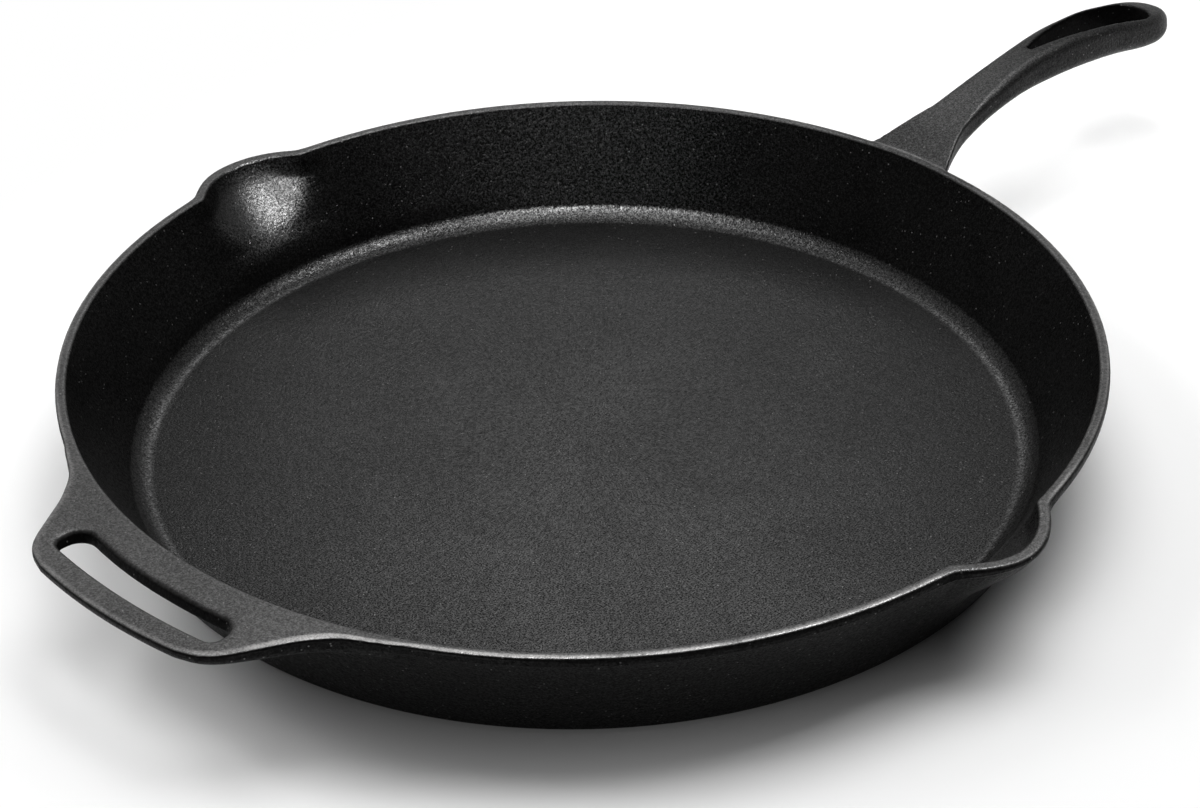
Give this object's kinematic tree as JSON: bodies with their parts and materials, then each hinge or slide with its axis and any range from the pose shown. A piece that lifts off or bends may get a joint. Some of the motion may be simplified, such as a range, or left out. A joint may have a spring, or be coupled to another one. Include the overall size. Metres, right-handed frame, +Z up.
{
  "type": "cast iron skillet",
  "caption": "Shallow round cast iron skillet with flared walls, an arched long handle with a teardrop hanging hole, a slotted helper handle and opposed pouring lips.",
  "frame": {"origin": "centre of the flat underside that the skillet stands on", "axes": "+X from the bowl's axis out along the long handle, -X out along the helper handle, +Y and -Y through the two pouring lips, +Z up out of the bowl"},
  "size_m": [0.6398, 0.4396, 0.0711],
  "materials": {
    "seasoned_iron": "black pre-seasoned sand-cast iron, satin with a fine grain"
  },
  "bodies": {
    "root": {"pan_body": "seasoned_iron", "long_handle": "seasoned_iron", "helper_handle": "seasoned_iron"}
  },
  "joints": []
}
